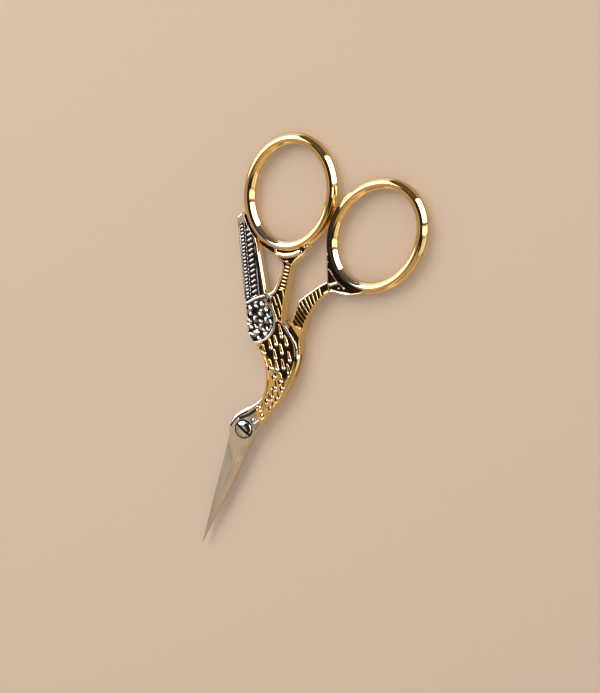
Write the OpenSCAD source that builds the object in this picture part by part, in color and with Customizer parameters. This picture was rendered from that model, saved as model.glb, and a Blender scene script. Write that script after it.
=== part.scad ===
// Small bird-shaped embroidery scissors, closed. The pivot axis is the Z axis, the blades point to -Y,
// the bows to +Y, and the decorated front faces +Z. The whole tool lies on the plane z = 0.

/* [Overall] */
// Depth of a bow, and of the two halves together at the pivot
depth = 3.4; // [3:0.1:4.2]
// Free height between the sliding faces of the halves
slide_gap = 0.04; // [0.02:0.01:0.08]
// Sideways clearance where one half passes beside the other
lap_gap = 0.14; // [0.1:0.02:0.2]
// How far the faces of body, wing, tail and legs lie below the bows
face_drop = 0.15; // [0.05:0.05:0.3]
// Bevel along the outer edges of body, legs and tail
bevel = 0.35; // [0.1:0.05:0.45]

/* [Bows] */
// Length of a finger hole
hole_length = 20.1; // [18.5:0.1:22]
// Width of a finger hole
hole_width = 15.9; // [14.5:0.1:17.2]
// Width of the bow's wire, seen from the front
wire = 2.35; // [2:0.05:2.8]
// Height of the bows' centres above the pivot
bow_height = 49.8; // [48:0.1:53]
// Lean of each bow's long axis away from the closing line, in degrees
bow_lean = 9; // [5:0.5:13]
// Air between the bows when the scissors are closed
bow_gap = 0.06; // [0.04:0.02:0.4]

/* [Blades] */
// Distance from the pivot to the tips
blade_length = 27.75; // [24:0.25:32]
// Thickness of a blade's cutting edge
edge_land = 0.08; // [0.05:0.01:0.15]

/* [Pivot screw] */
// Radius of the shank
shank_r = 1.05; // [0.8:0.05:1.3]
// Running clearance between the shank and the front half's bore
shank_clear = 0.05; // [0.02:0.01:0.09]
// Radius of the head
head_r = 1.83; // [1.6:0.01:1.9]
// Height of the head's rim
head_rim = 0.34; // [0.25:0.01:0.45]
// Height of the dome above the rim
head_dome = 0.45; // [0.3:0.05:0.6]
// Depth of the recess that the head sits in
head_sink = 0.25; // [0.1:0.05:0.35]
// Radial air round the head in its recess
head_air = 0.14; // [0.08:0.02:0.16]
// Width of the driver slot
slot_width = 0.55; // [0.35:0.05:0.7]
// Depth of the driver slot
slot_depth = 0.5; // [0.3:0.05:0.55]
// Direction of the driver slot when the screw is home, in degrees from +X
slot_angle = -15; // [-90:5:90]

/* [Hidden] */
$fn = 64;

GOLD = [0.86, 0.66, 0.32];
NICKEL = [0.74, 0.73, 0.72];
STEEL = [0.68, 0.66, 0.64];

// Heights of the sliding faces and of the decorated faces
back_top = (depth - slide_gap) / 2;
front_low = (depth + slide_gap) / 2;
face_low = face_drop;
face_top = depth - face_drop;
// Bevel where two zones of one half meet
seam = 0.02;

// Oval of a bow, on the wire's centreline
half_long = (hole_length + wire) / 2;
half_wide = (hole_width + wire) / 2;
// The bows lean, and their outsides keep half the bow gap from the closing line
bow_x = norm([half_wide * cos(bow_lean), half_long * sin(bow_lean)]) + (wire + bow_gap) / 2;
// Air between the tail and the bow that it lies against
tail_air = 0.06;
// How far from the wire's centreline its outside is
outside = wire / 2;

// Smooth curve from b to c, and fine(), which runs it through all the points
function bend(a, b, c, d, t) =
    b + 0.5 * t * ((c - a) + t * ((2 * a - 5 * b + 4 * c - d) + t * (3 * (b - c) + d - a)));
function fine(p, n = 4) = concat([for (i = [0:len(p) - 2], k = [0:n - 1])
    bend(p[max(i - 1, 0)], p[i], p[i + 1], p[min(i + 2, len(p) - 1)], k / n)], [p[len(p) - 1]]);
function flip(p) = [for (i = [len(p) - 1:-1:0]) p[i]];
function mirrored(p) = [for (q = p) [-q[0], q[1]]];
function part_of(p, from, to) = [for (i = [from:to]) p[i]];
function unit(v) = v / norm(v);

// The way along p, cut into n steps of equal length
function mileage(p) = [for (i = 0, s = 0; i < len(p);
    s = i + 1 < len(p) ? s + norm(p[i + 1] - p[i]) : s, i = i + 1) s];
function along(p, n) = let (m = mileage(p), whole = m[len(m) - 1],
    x = [for (i = [0:len(p) - 1]) [m[i], p[i][0]]], y = [for (i = [0:len(p) - 1]) [m[i], p[i][1]]])
    [for (k = [0:n]) [lookup(whole * k / n, x), lookup(whole * k / n, y)]];

// The points [share of the way from a to b, offset to the left of it], in the plane
function beside(a, b, places) = let (d = b - a, l = norm(d))
    [for (q = places) [a[0] + q[0] * d[0] - q[1] * d[1] / l, a[1] + q[0] * d[1] + q[1] * d[0] / l]];
// The points [angle, distance out from the wire's centreline] round the left bow
function rim(places) = [for (q = places)
    let (c = cos(q[0] - bow_lean), s = sin(q[0] - bow_lean),
        r = half_wide * half_long / norm([half_long * c, half_wide * s]) + q[1])
    [-bow_x + r * cos(q[0]), bow_height + r * sin(q[0])]];
// The line p moved to its right by d
function moved(p, d) = [for (i = [0:len(p) - 1])
    let (v = unit(p[min(i + 1, len(p) - 1)] - p[max(i - 1, 0)])) p[i] + d * [v[1], -v[0]]];

// Left and right edges of head and body, from the blade's root upward
neck_left = [0.06, 6.12];
neck_right = [3.05, 2.35];
throat = fine([[-3.38, -1.5], [-3.55, 0.1], [-3.35, 1.5], [-2.7, 2.75], [-1.75, 4.05], [-0.65, 5.25], neck_left]);
nape = fine([[2.35, -1.5], [2.5, -0.4], [2.8, 1.4], neck_right]);
belly = fine([neck_left, [0.72, 7.4], [0.98, 8.6], [0.93, 9.9], [0.62, 11.2], [0.08, 12.6], [-0.62, 13.95],
    [-1.5, 15.25], [-2.6, 16.4], [-3.75, 17.3], [-4.95, 17.95]]);
rump = fine([neck_right, [3.25, 3.2], [3.72, 5], [4.3, 7.2], [4.92, 9.2], [5.35, 11], [5.6, 13], [5.7, 15]]);
front_notch = [-1.2, 24.78];
shoulder = fine([[5.7, 15], [5.65, 17], [5.35, 19], [4.65, 20.65], [3.7, 21.95], [2.4, 22.85], [1.25, 23.5],
    [0.45, 24.05], [-0.35, 24.55], front_notch]);

// Edges of the wing and of the tail
breast = fine([[-4.95, 17.95], [-4.2, 18.4], [-3.3, 19.2], [-2.5, 20.3], [-2.1, 21.6], [-2, 23], [-2.3, 24.2]]);
crown = fine([[-2.3, 24.2], [-2.9, 25.35], [-3.8, 26.3], [-5, 27], [-6.25, 27.4]]);
wing_back = fine([[-5.3, 18.06], [-6.1, 18.4], [-7, 19.05], [-7.75, 20], [-8.5, 21.3], [-9.5, 23.2],
    [-10.6, 25.1]]);
crotch = [-6.4, 28.75];
tail_root = [[-10.6, 25.1], [-7, 28.65]];
tail_outer = concat([tail_root[0]], rim([[-132.1, outside + 1.8], [-134.4, outside + 0.56]]));
tail_inner = concat([tail_root[1]], rim([[-100.2, outside + 0.75]]),
    rim([for (a = [-105:-4.5:-132]) [a, outside + tail_air]]));

// Legs, from hip to ankle, and the outer edges of the collars that spread to the bows
front_hip = [-1.75, 24.6];
front_ankle = rim([[-67.4, outside + 1.74]])[0];
front_spur = rim([[-103, 0.35], [-101, outside + 0.1], [-95.1, outside + 0.45], [-86.1, outside + 0.55],
    [-78.5, outside + 0.95], [-75.5, outside + 1.5]]);
front_cuff = rim([[-63.7, outside + 2.8], [-61.2, outside + 2.1], [-57, outside + 1.55], [-51.5, outside + 1.25],
    [-47.7, outside + 0.8], [-45.6, outside + 0.3], [-43, outside + 0.15], [-40, 0.35]]);
front_shin = fine(concat([front_notch], beside(front_hip, front_ankle,
    [[0.16, -0.32], [0.36, -0.38], [0.59, -0.59], [0.83, -0.87]]), [front_cuff[0]]));
front_calf = fine(concat([crotch], beside(front_hip, front_ankle,
    [[0.44, 2.9], [0.49, 2.27], [0.58, 1.81], [0.72, 1.38], [0.85, 1.16], [0.94, 1.26]]), [front_spur[5]]));

back_hip = [2.2, 24.2];
back_ankle = mirrored(rim([[-68.8, outside + 2.64]]))[0];
back_spur = mirrored(rim([[-101, 0.35], [-99, outside - 0.05], [-96, outside + 0.3], [-91, outside + 0.8],
    [-86, outside + 1.35], [-81, outside + 1.85], [-76, outside + 2.4], [-72.5, outside + 3.2]]));
back_cuff = mirrored(rim([[-65.7, outside + 1.9], [-60.6, outside + 1.13], [-54.6, outside + 0.5],
    [-49, outside + 0.1], [-45, outside - 0.15], [-43, 0.35]]));
back_shin = fine(concat(beside(back_hip, back_ankle, [[-0.2, 1.2], [0.05, 1.69], [0.28, 2.44], [0.46, 3.02],
    [0.54, 2.94], [0.76, 2.09], [0.93, 1.42]]), [back_cuff[0]]));
back_calf = fine(concat(beside(back_hip, back_ankle, [[-0.33, -3.1], [-0.26, -3.6], [-0.19, -3.17],
    [-0.13, -2.45], [-0.07, -1.95], [0.06, -1.46], [0.28, -0.52], [0.46, -0.15], [0.66, -0.1],
    [0.83, -0.39]]), [back_spur[7]]));

// A plate between two edges. Each row is [left point, right point, low, high, left bevel, right bevel], and
// the rows run from one end of the plate to the other. A face without bevels is left sharp.
function station(r, low_on, high_on) =
    let (u = unit(r[1] - r[0]), w = norm(r[1] - r[0]), a = min(r[4], 0.4 * w), b = min(r[5], 0.4 * w),
        at = function (d, z) [r[0][0] + d * u[0], r[0][1] + d * u[1], z])
    concat(low_on ? [at(0, r[2] + a), at(a, r[2]), at(w - b, r[2]), at(w, r[2] + b)] : [at(0, r[2]), at(w, r[2])],
        high_on ? [at(w, r[3] - b), at(w - b, r[3]), at(a, r[3]), at(0, r[3] - a)] : [at(w, r[3]), at(0, r[3])]);

// A closed skin over stations that all have the same number of points
module skin(stations) {
    n = len(stations[0]);
    last = len(stations) - 1;
    polyhedron(
        points = [for (s = stations, q = s) q],
        faces = concat([[for (i = [n - 1:-1:0]) i]], [[for (i = [0:n - 1]) last * n + i]],
            [for (k = [0:last - 1], i = [0:n - 1], h = [0, 1]) let (a = k * n + i, b = k * n + (i + 1) % n)
                h == 0 ? [a, b, a + n] : [b, b + n, a + n]]),
        convexity = 10);
}

module plate(rows, low_on = true, high_on = true) {
    skin([for (r = rows) station(r, low_on, high_on)]);
}

// Rows between two edges of equal length, all at the same heights
function rows(left, right, low, high, left_bevel, right_bevel) =
    [for (i = [0:len(left) - 1]) [left[i], right[i], low, high, left_bevel, right_bevel]];

// Stations of a blade from tip to root: share of the blade's length, cutting edge, spine, land from, land to,
// depth of the spine, depth of the land
blade_rows = [[1, 0.3, 0.42, 0.345, 0.375, 0.12, 0.2], [0.9, -0.08, 0.62, 0.33, 0.39, 0.3, 0.5],
    [0.72, -0.75, 1.12, 0.36, 0.44, 0.5, 0.85], [0.54, -1.45, 1.6, 0.38, 0.48, 0.65, 1.1],
    [0.36, -2.1, 1.95, 0.38, 0.52, 0.78, 1.3], [0.27, -2.42, 2.08, 0.15, 0.6, 0.85, 1.4],
    [0.2, -2.7, 2.17, -0.75, 0.9, 0.92, 1.5], [0.125, -3, 2.25, -2, 1.25, 1, 1.6]];
blade_fine = fine([for (r = blade_rows) [-r[0] * blade_length, r[1], r[2], r[3], r[4], r[5], r[6]]], 3);

// Head stations: from the blade's root to the neck, with the land falling to the body's face
head_steps = 10;
head_left = along(throat, head_steps);
head_right = along(nape, head_steps);
function head_row(i) = let (l = head_left[i], r = head_right[i], u = unit(r - l), s = i / head_steps,
    t = back_top - face_drop * max(0, s - 0.6) / 0.4)
    [l, r, l + (1 - s) * 0.2 * u + s * bevel * u, r - (1 - s) * 0.5 * u - s * bevel * u,
        (1 - s) * 1.2 + s * (t - bevel), t, (1 - s) * 0.6 + s * (t - bevel)];

// Section of a blade or head: its inner face at height 0, seen from below with its land above
function head_section(l, r, from, to, spine, land, edge, turned) = turned
    ? [[r[0], r[1], 0], [l[0], l[1], 0], [l[0], l[1], spine], concat(l + r - to, [land]),
        concat(l + r - from, [land]), [r[0], r[1], edge]]
    : [[l[0], l[1], 0], [r[0], r[1], 0], [r[0], r[1], spine], concat(to, [land]), concat(from, [land]),
        [l[0], l[1], edge]];

function blade_stations(turned) = concat(
    [for (r = blade_fine) head_section([r[1], r[0]], [r[2], r[0]], [r[3], r[0]], [r[4], r[0]], r[5], r[6],
        edge_land, turned)],
    [for (i = [0:head_steps]) let (h = head_row(i)) head_section(h[0], h[1], h[2], h[3], h[4], h[5], h[6], turned)]);

// Blade and bare head of one half. The back one has its cutting edge on the right and faces down.
module front_half_blade() {
    translate([0, 0, front_low]) skin(blade_stations(false));
}

module back_half_blade() {
    translate([0, 0, back_top]) skin([for (s = blade_stations(true)) [for (q = s) [q[0], q[1], -q[2]]]]);
}

// Rows of the body from neck to notch. Its left edge is given, and its right edge is shared by both halves.
body_steps = 14;
breast_steps = 10;
function body_rows(left_belly, left_breast, right_shoulder, low, high, breast_bevel, right_bevels) = concat(
    rows(left_belly, along(rump, body_steps), low, high, bevel, bevel),
    [for (i = [1:breast_steps]) [left_breast[i], right_shoulder[i], low, high, breast_bevel, right_bevels[i]]]);

// Outline of the front body, that the back leg passes beside
module front_body_outline(grow) {
    offset(delta = grow) polygon(concat(along(rump, body_steps), along(shoulder, breast_steps),
        flip(along(breast, breast_steps)), flip(along(belly, body_steps))));
}

// The wire of a bow: an oval section led round the oval, which closes on itself
module oval_bow(slices = 48, sides = 16) {
    polyhedron(
        points = [for (k = [0:slices - 1], i = [0:sides - 1])
            let (a = 360 * k / slices, b = 360 * (i + 0.5) / sides, v = unit([half_long * cos(a), half_wide * sin(a)]),
                r = wire / 2 * cos(b) / cos(180 / sides))
            [half_wide * cos(a) + r * v[0], half_long * sin(a) + r * v[1],
                depth / 2 * (1 + sin(b) / cos(180 / sides))]],
        faces = [for (k = [0:slices - 1], i = [0:sides - 1], h = [0, 1])
            let (a = k * sides + i, b = k * sides + (i + 1) % sides, n = slices * sides)
            h == 0 ? [a, b, (a + sides) % n] : [b, (b + sides) % n, (a + sides) % n]],
        convexity = 4);
}

// Collar between an outer edge and the wire's centreline. The edge is bevelled apart from the ankle.
module collar(edge, centreline, ankle_from, ankle_to) {
    plate([for (i = [0:len(edge) - 1]) [centreline[i], edge[i], face_low, face_top, seam,
        i >= ankle_from && i <= ankle_to ? seam : min(bevel, 0.25)]]);
}

module front_blade() {
    color(STEEL) difference() {
        front_half_blade();
        translate([0, 0, -1]) cylinder(h = depth + 2, r = shank_r + shank_clear);
        translate([0, 0, depth - head_sink]) cylinder(h = 2, r = head_r + head_air);
    }
}

module front_body() {
    color(GOLD) plate(body_rows(along(belly, body_steps), along(breast, breast_steps),
        along(shoulder, breast_steps), front_low, face_top, seam, [for (i = [0:breast_steps]) bevel]),
        low_on = false);
}

module front_wing() {
    crown_steps = 6;
    right = concat(along(breast, breast_steps), part_of(along(crown, crown_steps), 1, crown_steps),
        [crotch, tail_root[1]]);
    left = concat(along(wing_back, len(right) - 2), [tail_root[0] + [-0.01, 0.02]]);
    color(NICKEL) plate(rows(left, right, face_low, face_top, bevel, seam));
}

module front_tail() {
    steps = 12;
    color(NICKEL) plate(rows(along(tail_outer, steps), along(tail_inner, steps), face_low, face_top, bevel, bevel));
}

module front_leg() {
    crown_steps = 6;
    left = concat(part_of(along(crown, crown_steps), 1, crown_steps), along(front_calf, 14));
    right = concat([crown[0], [-1.75, 24.5]], along(front_shin, 18));
    color(GOLD) plate([for (i = [0:len(left) - 1]) [left[i], right[i], face_low, face_top, i < 6 ? seam : bevel,
        i < 3 ? seam : bevel]]);
}

module front_bow() {
    edge = concat(along(fine(front_spur), 10), along(fine(front_cuff), 12));
    centreline = rim([for (i = [0:23]) [-103 + 63 * i / 23, 0]]);
    color(GOLD) union() {
        translate([-bow_x, bow_height, 0]) rotate([0, 0, bow_lean]) oval_bow();
        collar(edge, centreline, 10, 11);
    }
}

module back_blade() {
    color(STEEL) difference() {
        back_half_blade();
        translate([0, 0, -1]) cylinder(h = depth + 2, r = shank_r);
    }
}

// The back body ends short of the notch, where the front leg passes it at full height
module back_body() {
    left = moved(along(breast, breast_steps), lap_gap);
    right = moved(along(shoulder, breast_steps), lap_gap);
    color(GOLD) plate(body_rows(along(belly, body_steps),
        concat(part_of(left, 0, breast_steps - 1), [crown[0] + [0.35, -0.3]]),
        concat(part_of(right, 0, breast_steps - 1), [front_notch + [0.2, -0.33]]),
        face_low, back_top, bevel, [for (i = [0:breast_steps]) i > 2 && i < 9 ? seam : bevel]), high_on = false);
}

module back_leg() {
    color(GOLD) difference() {
        plate(rows(along(back_shin, 20), along(back_calf, 20), face_low, face_top, bevel, bevel));
        translate([0, 0, -1]) linear_extrude(depth + 2) front_body_outline(lap_gap);
    }
}

module back_bow() {
    edge = concat(along(fine(flip(back_cuff)), 9), along(fine(flip(back_spur)), 12));
    centreline = mirrored(rim([for (i = [0:22]) [-43 - 58 * i / 22, 0]]));
    color(GOLD) union() {
        translate([bow_x, bow_height, 0]) rotate([0, 0, -bow_lean]) oval_bow();
        collar(edge, centreline, 9, 10);
    }
}

// Slotted screw with a domed head. Its thread is in the back half, and the front half turns on its shank.
module pivot_screw() {
    seat = depth - head_sink + slide_gap / 2;
    dome_r = (head_r * head_r + head_dome * head_dome) / (2 * head_dome);
    color(NICKEL) difference() {
        union() {
            cylinder(h = seat + 0.1, r = shank_r);
            translate([0, 0, seat]) cylinder(h = head_rim, r = head_r);
            intersection() {
                translate([0, 0, seat + head_rim + head_dome - dome_r]) sphere(r = dome_r);
                translate([0, 0, seat + head_rim / 2]) cylinder(h = head_rim + head_dome, r = head_r);
            }
        }
        rotate([0, 0, slot_angle])
            translate([-head_r - 1, -slot_width / 2, seat + head_rim + head_dome - slot_depth])
                cube([2 * head_r + 2, slot_width, slot_depth + 1]);
    }
}

back_blade();
back_body();
back_leg();
back_bow();
pivot_screw();
front_blade();
front_body();
front_wing();
front_tail();
front_leg();
front_bow();
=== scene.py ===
import math
import bpy
import numpy as np
from mathutils import Matrix, Vector


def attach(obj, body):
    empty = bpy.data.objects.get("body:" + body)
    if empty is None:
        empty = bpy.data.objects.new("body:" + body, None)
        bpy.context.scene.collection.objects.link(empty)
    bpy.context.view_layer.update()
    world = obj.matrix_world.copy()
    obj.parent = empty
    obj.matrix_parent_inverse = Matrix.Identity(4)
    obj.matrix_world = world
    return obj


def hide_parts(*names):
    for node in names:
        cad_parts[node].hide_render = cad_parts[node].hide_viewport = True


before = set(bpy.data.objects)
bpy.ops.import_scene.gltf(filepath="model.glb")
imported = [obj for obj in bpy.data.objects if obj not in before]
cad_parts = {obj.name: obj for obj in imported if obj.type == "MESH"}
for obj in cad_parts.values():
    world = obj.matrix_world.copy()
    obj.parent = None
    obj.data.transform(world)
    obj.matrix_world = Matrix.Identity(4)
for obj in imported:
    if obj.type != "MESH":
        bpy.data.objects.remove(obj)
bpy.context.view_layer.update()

# Sizes in millimetres, the same as the solids have. MM turns them into metres.
MM = 0.001
DEPTH = 3.4
GAP = 0.04
INSET = 0.15
BACK_TOP = (DEPTH - GAP) / 2
FRONT_LOW = (DEPTH + GAP) / 2
FACE_LOW, FACE_TOP = INSET, DEPTH - INSET
HOLE_LONG, HOLE_WIDE = 20.1, 15.9
WIRE = 2.35
BOW_GAP = 0.06
HALF_LONG, HALF_WIDE = (HOLE_LONG + WIRE) / 2, (HOLE_WIDE + WIRE) / 2
LEAN = math.radians(9)
BOW_X = math.hypot(HALF_WIDE * math.cos(LEAN), HALF_LONG * math.sin(LEAN)) + (WIRE + BOW_GAP) / 2
BOW_Y = 49.8
OUT = WIRE / 2
BLADE = 27.75
# Sideways clearance where one half passes beside the other
LAP = 0.14
# How far rounded forms stay inside the solids
SKIN = 0.02
# Farther away, or deeper, than anything on the scissors
FAR = 99.0


def smooth(points, n=8):
    """A smooth curve through all the points."""
    p = np.asarray(points, float)
    q = np.vstack([p[:1], p, p[-1:]])
    out = []
    for i in range(1, len(q) - 2):
        a, b, c, d = q[i - 1], q[i], q[i + 1], q[i + 2]
        for t in np.arange(n) / n:
            out.append(b + 0.5 * t * ((c - a) + t * ((2 * a - 5 * b + 4 * c - d) + t * (3 * (b - c) + d - a))))
    return np.array(out + [p[-1]])


def along(points, count):
    """The way along the points, cut into equal steps."""
    p = np.asarray(points, float)
    s = np.r_[0, np.cumsum(np.linalg.norm(np.diff(p, axis=0), axis=1))]
    k = np.linspace(0, s[-1], count + 1)
    return np.stack([np.interp(k, s, p[:, i]) for i in range(p.shape[1])], 1)


def beside(a, b, places):
    """Points beside the line from a to b: [share of the way, distance to its left]."""
    a, b = np.array(a, float), np.array(b, float)
    d = b - a
    n = np.array([-d[1], d[0]]) / np.linalg.norm(d)
    return [a + s * d + o * n for s, o in places]


def rim(places, side=-1):
    """Points [angle, distance out from the wire's centreline] round a bow: side -1 is the left one."""
    out = []
    for angle, off in places:
        t = math.radians(angle)
        c, s = math.cos(t - LEAN), math.sin(t - LEAN)
        r = HALF_WIDE * HALF_LONG / math.hypot(HALF_LONG * c, HALF_WIDE * s) + off
        x = -BOW_X + r * math.cos(t)
        out.append(np.array([x if side < 0 else -x, BOW_Y + r * math.sin(t)]))
    return out


def moved(p, d):
    """A line moved to its right by d."""
    v = np.gradient(p, axis=0)
    v /= np.linalg.norm(v, axis=1)[:, None]
    return p + d * np.stack([v[:, 1], -v[:, 0]], 1)


def step(a, b, x):
    """0 up to a, 1 from b on, and smooth in between. With a above b it falls."""
    t = np.clip((x - a) / (b - a), 0, 1)
    return t * t * (3 - 2 * t)


# Outlines, left and right as the front shows them
NECK_LEFT, NECK_RIGHT = [0.06, 6.12], [3.05, 2.35]
THROAT = smooth([[-3.38, -1.5], [-3.55, 0.1], [-3.35, 1.5], [-2.7, 2.75], [-1.75, 4.05], [-0.65, 5.25],
                 NECK_LEFT])
NAPE = smooth([[2.35, -1.5], [2.5, -0.4], [2.8, 1.4], NECK_RIGHT])
BELLY = smooth([NECK_LEFT, [0.72, 7.4], [0.98, 8.6], [0.93, 9.9], [0.62, 11.2], [0.08, 12.6], [-0.62, 13.95],
                [-1.5, 15.25], [-2.6, 16.4], [-3.75, 17.3], [-4.95, 17.95]])
RUMP = smooth([NECK_RIGHT, [3.25, 3.2], [3.72, 5], [4.3, 7.2], [4.92, 9.2], [5.35, 11], [5.6, 13], [5.7, 15]])
SHOULDER = smooth([[5.7, 15], [5.65, 17], [5.35, 19], [4.65, 20.65], [3.7, 21.95], [2.4, 22.85], [1.25, 23.5],
                   [0.45, 24.05], [-0.35, 24.55], [-1.2, 24.78]])
BREAST = smooth([[-4.95, 17.95], [-4.2, 18.4], [-3.3, 19.2], [-2.5, 20.3], [-2.1, 21.6], [-2, 23],
                 [-2.3, 24.2]])
CROWN = smooth([[-2.3, 24.2], [-2.9, 25.35], [-3.8, 26.3], [-5, 27], [-6.25, 27.4]])
WING_BACK = smooth([[-5.3, 18.06], [-6.1, 18.4], [-7, 19.05], [-7.75, 20], [-8.5, 21.3], [-9.5, 23.2],
                    [-10.6, 25.1]])
CROTCH = [-6.4, 28.75]
TAIL_ROOT = [[-10.6, 25.1], [-7.0, 28.65]]
TAIL_OUTER = [TAIL_ROOT[0]] + rim([[-132.1, OUT + 1.8], [-134.4, OUT + 0.56]])
TAIL_INNER = [TAIL_ROOT[1]] + rim([[-100.2, OUT + 0.75]] + [[a, OUT + 0.08] for a in range(-105, -133, -3)])
FRONT_HIP, FRONT_ANKLE = [-1.75, 24.6], rim([[-67.4, OUT + 1.74]])[0]
FRONT_SPUR = rim([[-103, 0.35], [-101, OUT + 0.1], [-95.1, OUT + 0.45], [-86.1, OUT + 0.55],
                  [-78.5, OUT + 0.95], [-75.5, OUT + 1.5]])
FRONT_CUFF = rim([[-63.7, OUT + 2.8], [-61.2, OUT + 2.1], [-57, OUT + 1.55], [-51.5, OUT + 1.25],
                  [-47.7, OUT + 0.8], [-45.6, OUT + 0.3], [-43, OUT + 0.15], [-40, 0.35]])
FRONT_SHIN = smooth([[-1.2, 24.78]]
                    + beside(FRONT_HIP, FRONT_ANKLE, [[0.16, -0.32], [0.36, -0.38], [0.59, -0.59],
                                                      [0.83, -0.87]])
                    + [FRONT_CUFF[0]])
FRONT_CALF = smooth([CROTCH]
                    + beside(FRONT_HIP, FRONT_ANKLE, [[0.44, 2.9], [0.49, 2.27], [0.58, 1.81], [0.72, 1.38],
                                                      [0.85, 1.16], [0.94, 1.26]])
                    + [FRONT_SPUR[-1]])
BACK_HIP, BACK_ANKLE = [2.2, 24.2], rim([[-68.8, OUT + 2.64]], 1)[0]
BACK_SPUR = rim([[-101, 0.35], [-99, OUT - 0.05], [-96, OUT + 0.3], [-91, OUT + 0.8], [-86, OUT + 1.35],
                 [-81, OUT + 1.85], [-76, OUT + 2.4], [-72.5, OUT + 3.2]], 1)
BACK_CUFF = rim([[-65.7, OUT + 1.9], [-60.6, OUT + 1.13], [-54.6, OUT + 0.5], [-49, OUT + 0.1],
                 [-45, OUT - 0.15], [-43, 0.35]], 1)
BACK_SHIN = smooth(beside(BACK_HIP, BACK_ANKLE, [[-0.2, 1.2], [0.05, 1.69], [0.28, 2.44], [0.46, 3.02],
                                                 [0.54, 2.94], [0.76, 2.09], [0.93, 1.42]])
                   + [BACK_CUFF[0]])
BACK_CALF = smooth(beside(BACK_HIP, BACK_ANKLE, [[-0.33, -3.1], [-0.26, -3.6], [-0.19, -3.17], [-0.13, -2.45],
                                                 [-0.07, -1.95], [0.06, -1.46], [0.28, -0.52], [0.46, -0.15],
                                                 [0.66, -0.1], [0.83, -0.39]])
                   + [BACK_SPUR[-1]])


def bars(x, y, rows, taper=0.0):
    """Rounded bars [x, y, direction in degrees, length, half width, height at the start, height at the end].
    taper says which share of their width they lose on the way."""
    out = np.zeros_like(x)
    for bx, by, turn, length, half, h0, h1 in rows:
        c, s = math.cos(math.radians(turn)), math.sin(math.radians(turn))
        u = (x - bx) * c + (y - by) * s
        v = -(x - bx) * s + (y - by) * c
        f = np.clip(u / length, 0, 1)
        over = np.maximum(np.maximum(-u, u - length), 0)
        r = np.sqrt(v * v + over * over) / (half * (1 - taper * f))
        out = np.maximum(out, (h0 + (h1 - h0) * f) * np.sqrt(np.clip(1 - r ** 2, 0, 1)))
    return out


def ridge(x, y, line, half, height):
    """A rounded ridge along a line of points."""
    p = np.asarray(line, float)
    best = np.full(x.shape, FAR)
    for a, b in zip(p[:-1], p[1:]):
        d = b - a
        f = np.clip(((x - a[0]) * d[0] + (y - a[1]) * d[1]) / (d @ d), 0, 1)
        best = np.minimum(best, np.hypot(x - a[0] - f * d[0], y - a[1] - f * d[1]))
    return height * np.sqrt(np.clip(1 - (best / half) ** 2, 0, 1))


def saw(s, pitch, share):
    """Rounded ribs across the way s, which take a share of their pitch."""
    f = np.abs((s / pitch) % 1 - 0.5) * 2
    return np.sqrt(np.clip(1 - (np.clip(f / share, 0, 1)) ** 2, 0, 1))


def pearls(x, y, rows):
    """Domes [x, y, radius, height]."""
    out = np.zeros_like(x)
    for px, py, radius, height in rows:
        r = np.hypot(x - px, y - py) / radius
        out = np.maximum(out, height * np.sqrt(np.clip(1 - r ** 2, 0, 1)))
    return out


# Tips of the feathers, from the notch down to the screw
TIPS = [(-0.4, 22.3), (0, 21.7), (1.7, 20.7), (-0.5, 19.7), (1.4, 18.6), (-1.3, 18.5), (3.65, 18.0),
        (0.5, 17.0), (-2.2, 16.8), (2.95, 15.9), (4.5, 15.5), (1.8, 15.0), (0.4, 14.6), (1.95, 13.3),
        (3.6, 13.1), (4.5, 11.95), (3.0, 11.3), (4.4, 9.4), (3.1, 9.2), (2.45, 8.0), (3.8, 6.9),
        (0.95, 5.75), (1.65, 5.8), (2.7, 4.5), (1.3, 2.75)]
# Height of the ground between the feathers, and the feathers' and the pearls' sizes
FLOOR = -0.27
FEATHER_HALF, FEATHER_TAPER = 0.44, 0.45
PEARL_HEIGHT = 0.42


def feather_rows():
    """A bar from each tip back along its feather. They turn, lengthen and rise towards the body."""
    rows = []
    for tx, ty in TIPS:
        turn = np.interp(ty, [2.7, 4.5, 6, 8, 10, 25], [62, 80, 98, 112, 122, 127])
        length = np.interp(ty, [2.5, 5, 9, 20], [1.0, 1.3, 1.6, 1.9])
        height = np.interp(ty, [3.0, 6.0], [0.13, 0.26])
        rows.append([tx, ty, turn, length, FEATHER_HALF, height, 0.85 * height])
    return rows


FEATHERS = feather_rows()
TIP_PEARLS = [(tx, ty, np.interp(ty, [3.0, 6.0, 10.0], [0.5, 0.44, 0.38]), PEARL_HEIGHT) for tx, ty in TIPS]
# The hollow round each pearl, a little down and to its left
HOLLOWS = [(tx - 0.2, ty - 0.15, 0.55, 1.0) for tx, ty in TIPS if ty > 3]


def feathers(x, y, field, deep):
    """Feathers with a pearl at each tip. field says where they lie, and deep how far the ground is sunk."""
    pearl = pearls(x, y, TIP_PEARLS)
    ground = -(0.04 + 0.08 * step(5.0, 8.0, y) + 0.15 * deep) * field
    hollow = FLOOR * np.interp(y, [3.5, 6.0], [0.4, 1.0])
    ground = np.minimum(ground, hollow * step(0.1, 0.6, pearls(x, y, HOLLOWS)) * field)
    raised = FLOOR + np.maximum(bars(x, y, FEATHERS, FEATHER_TAPER), pearl)
    h = np.maximum(ground, np.where(field > 0.3, raised, -FAR))
    # Darker the deeper the ground lies, also in the hollow left of each pearl: patina and painted shade
    darkening = np.maximum(0, -(h + 0.18) * 2.2)
    # Nickel tone on the pearls: partly worn plating, partly a painted highlight that makes them whiter
    silver = step(0.16, 0.28, pearl) * (field > 0.3)
    return h, darkening, silver


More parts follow.
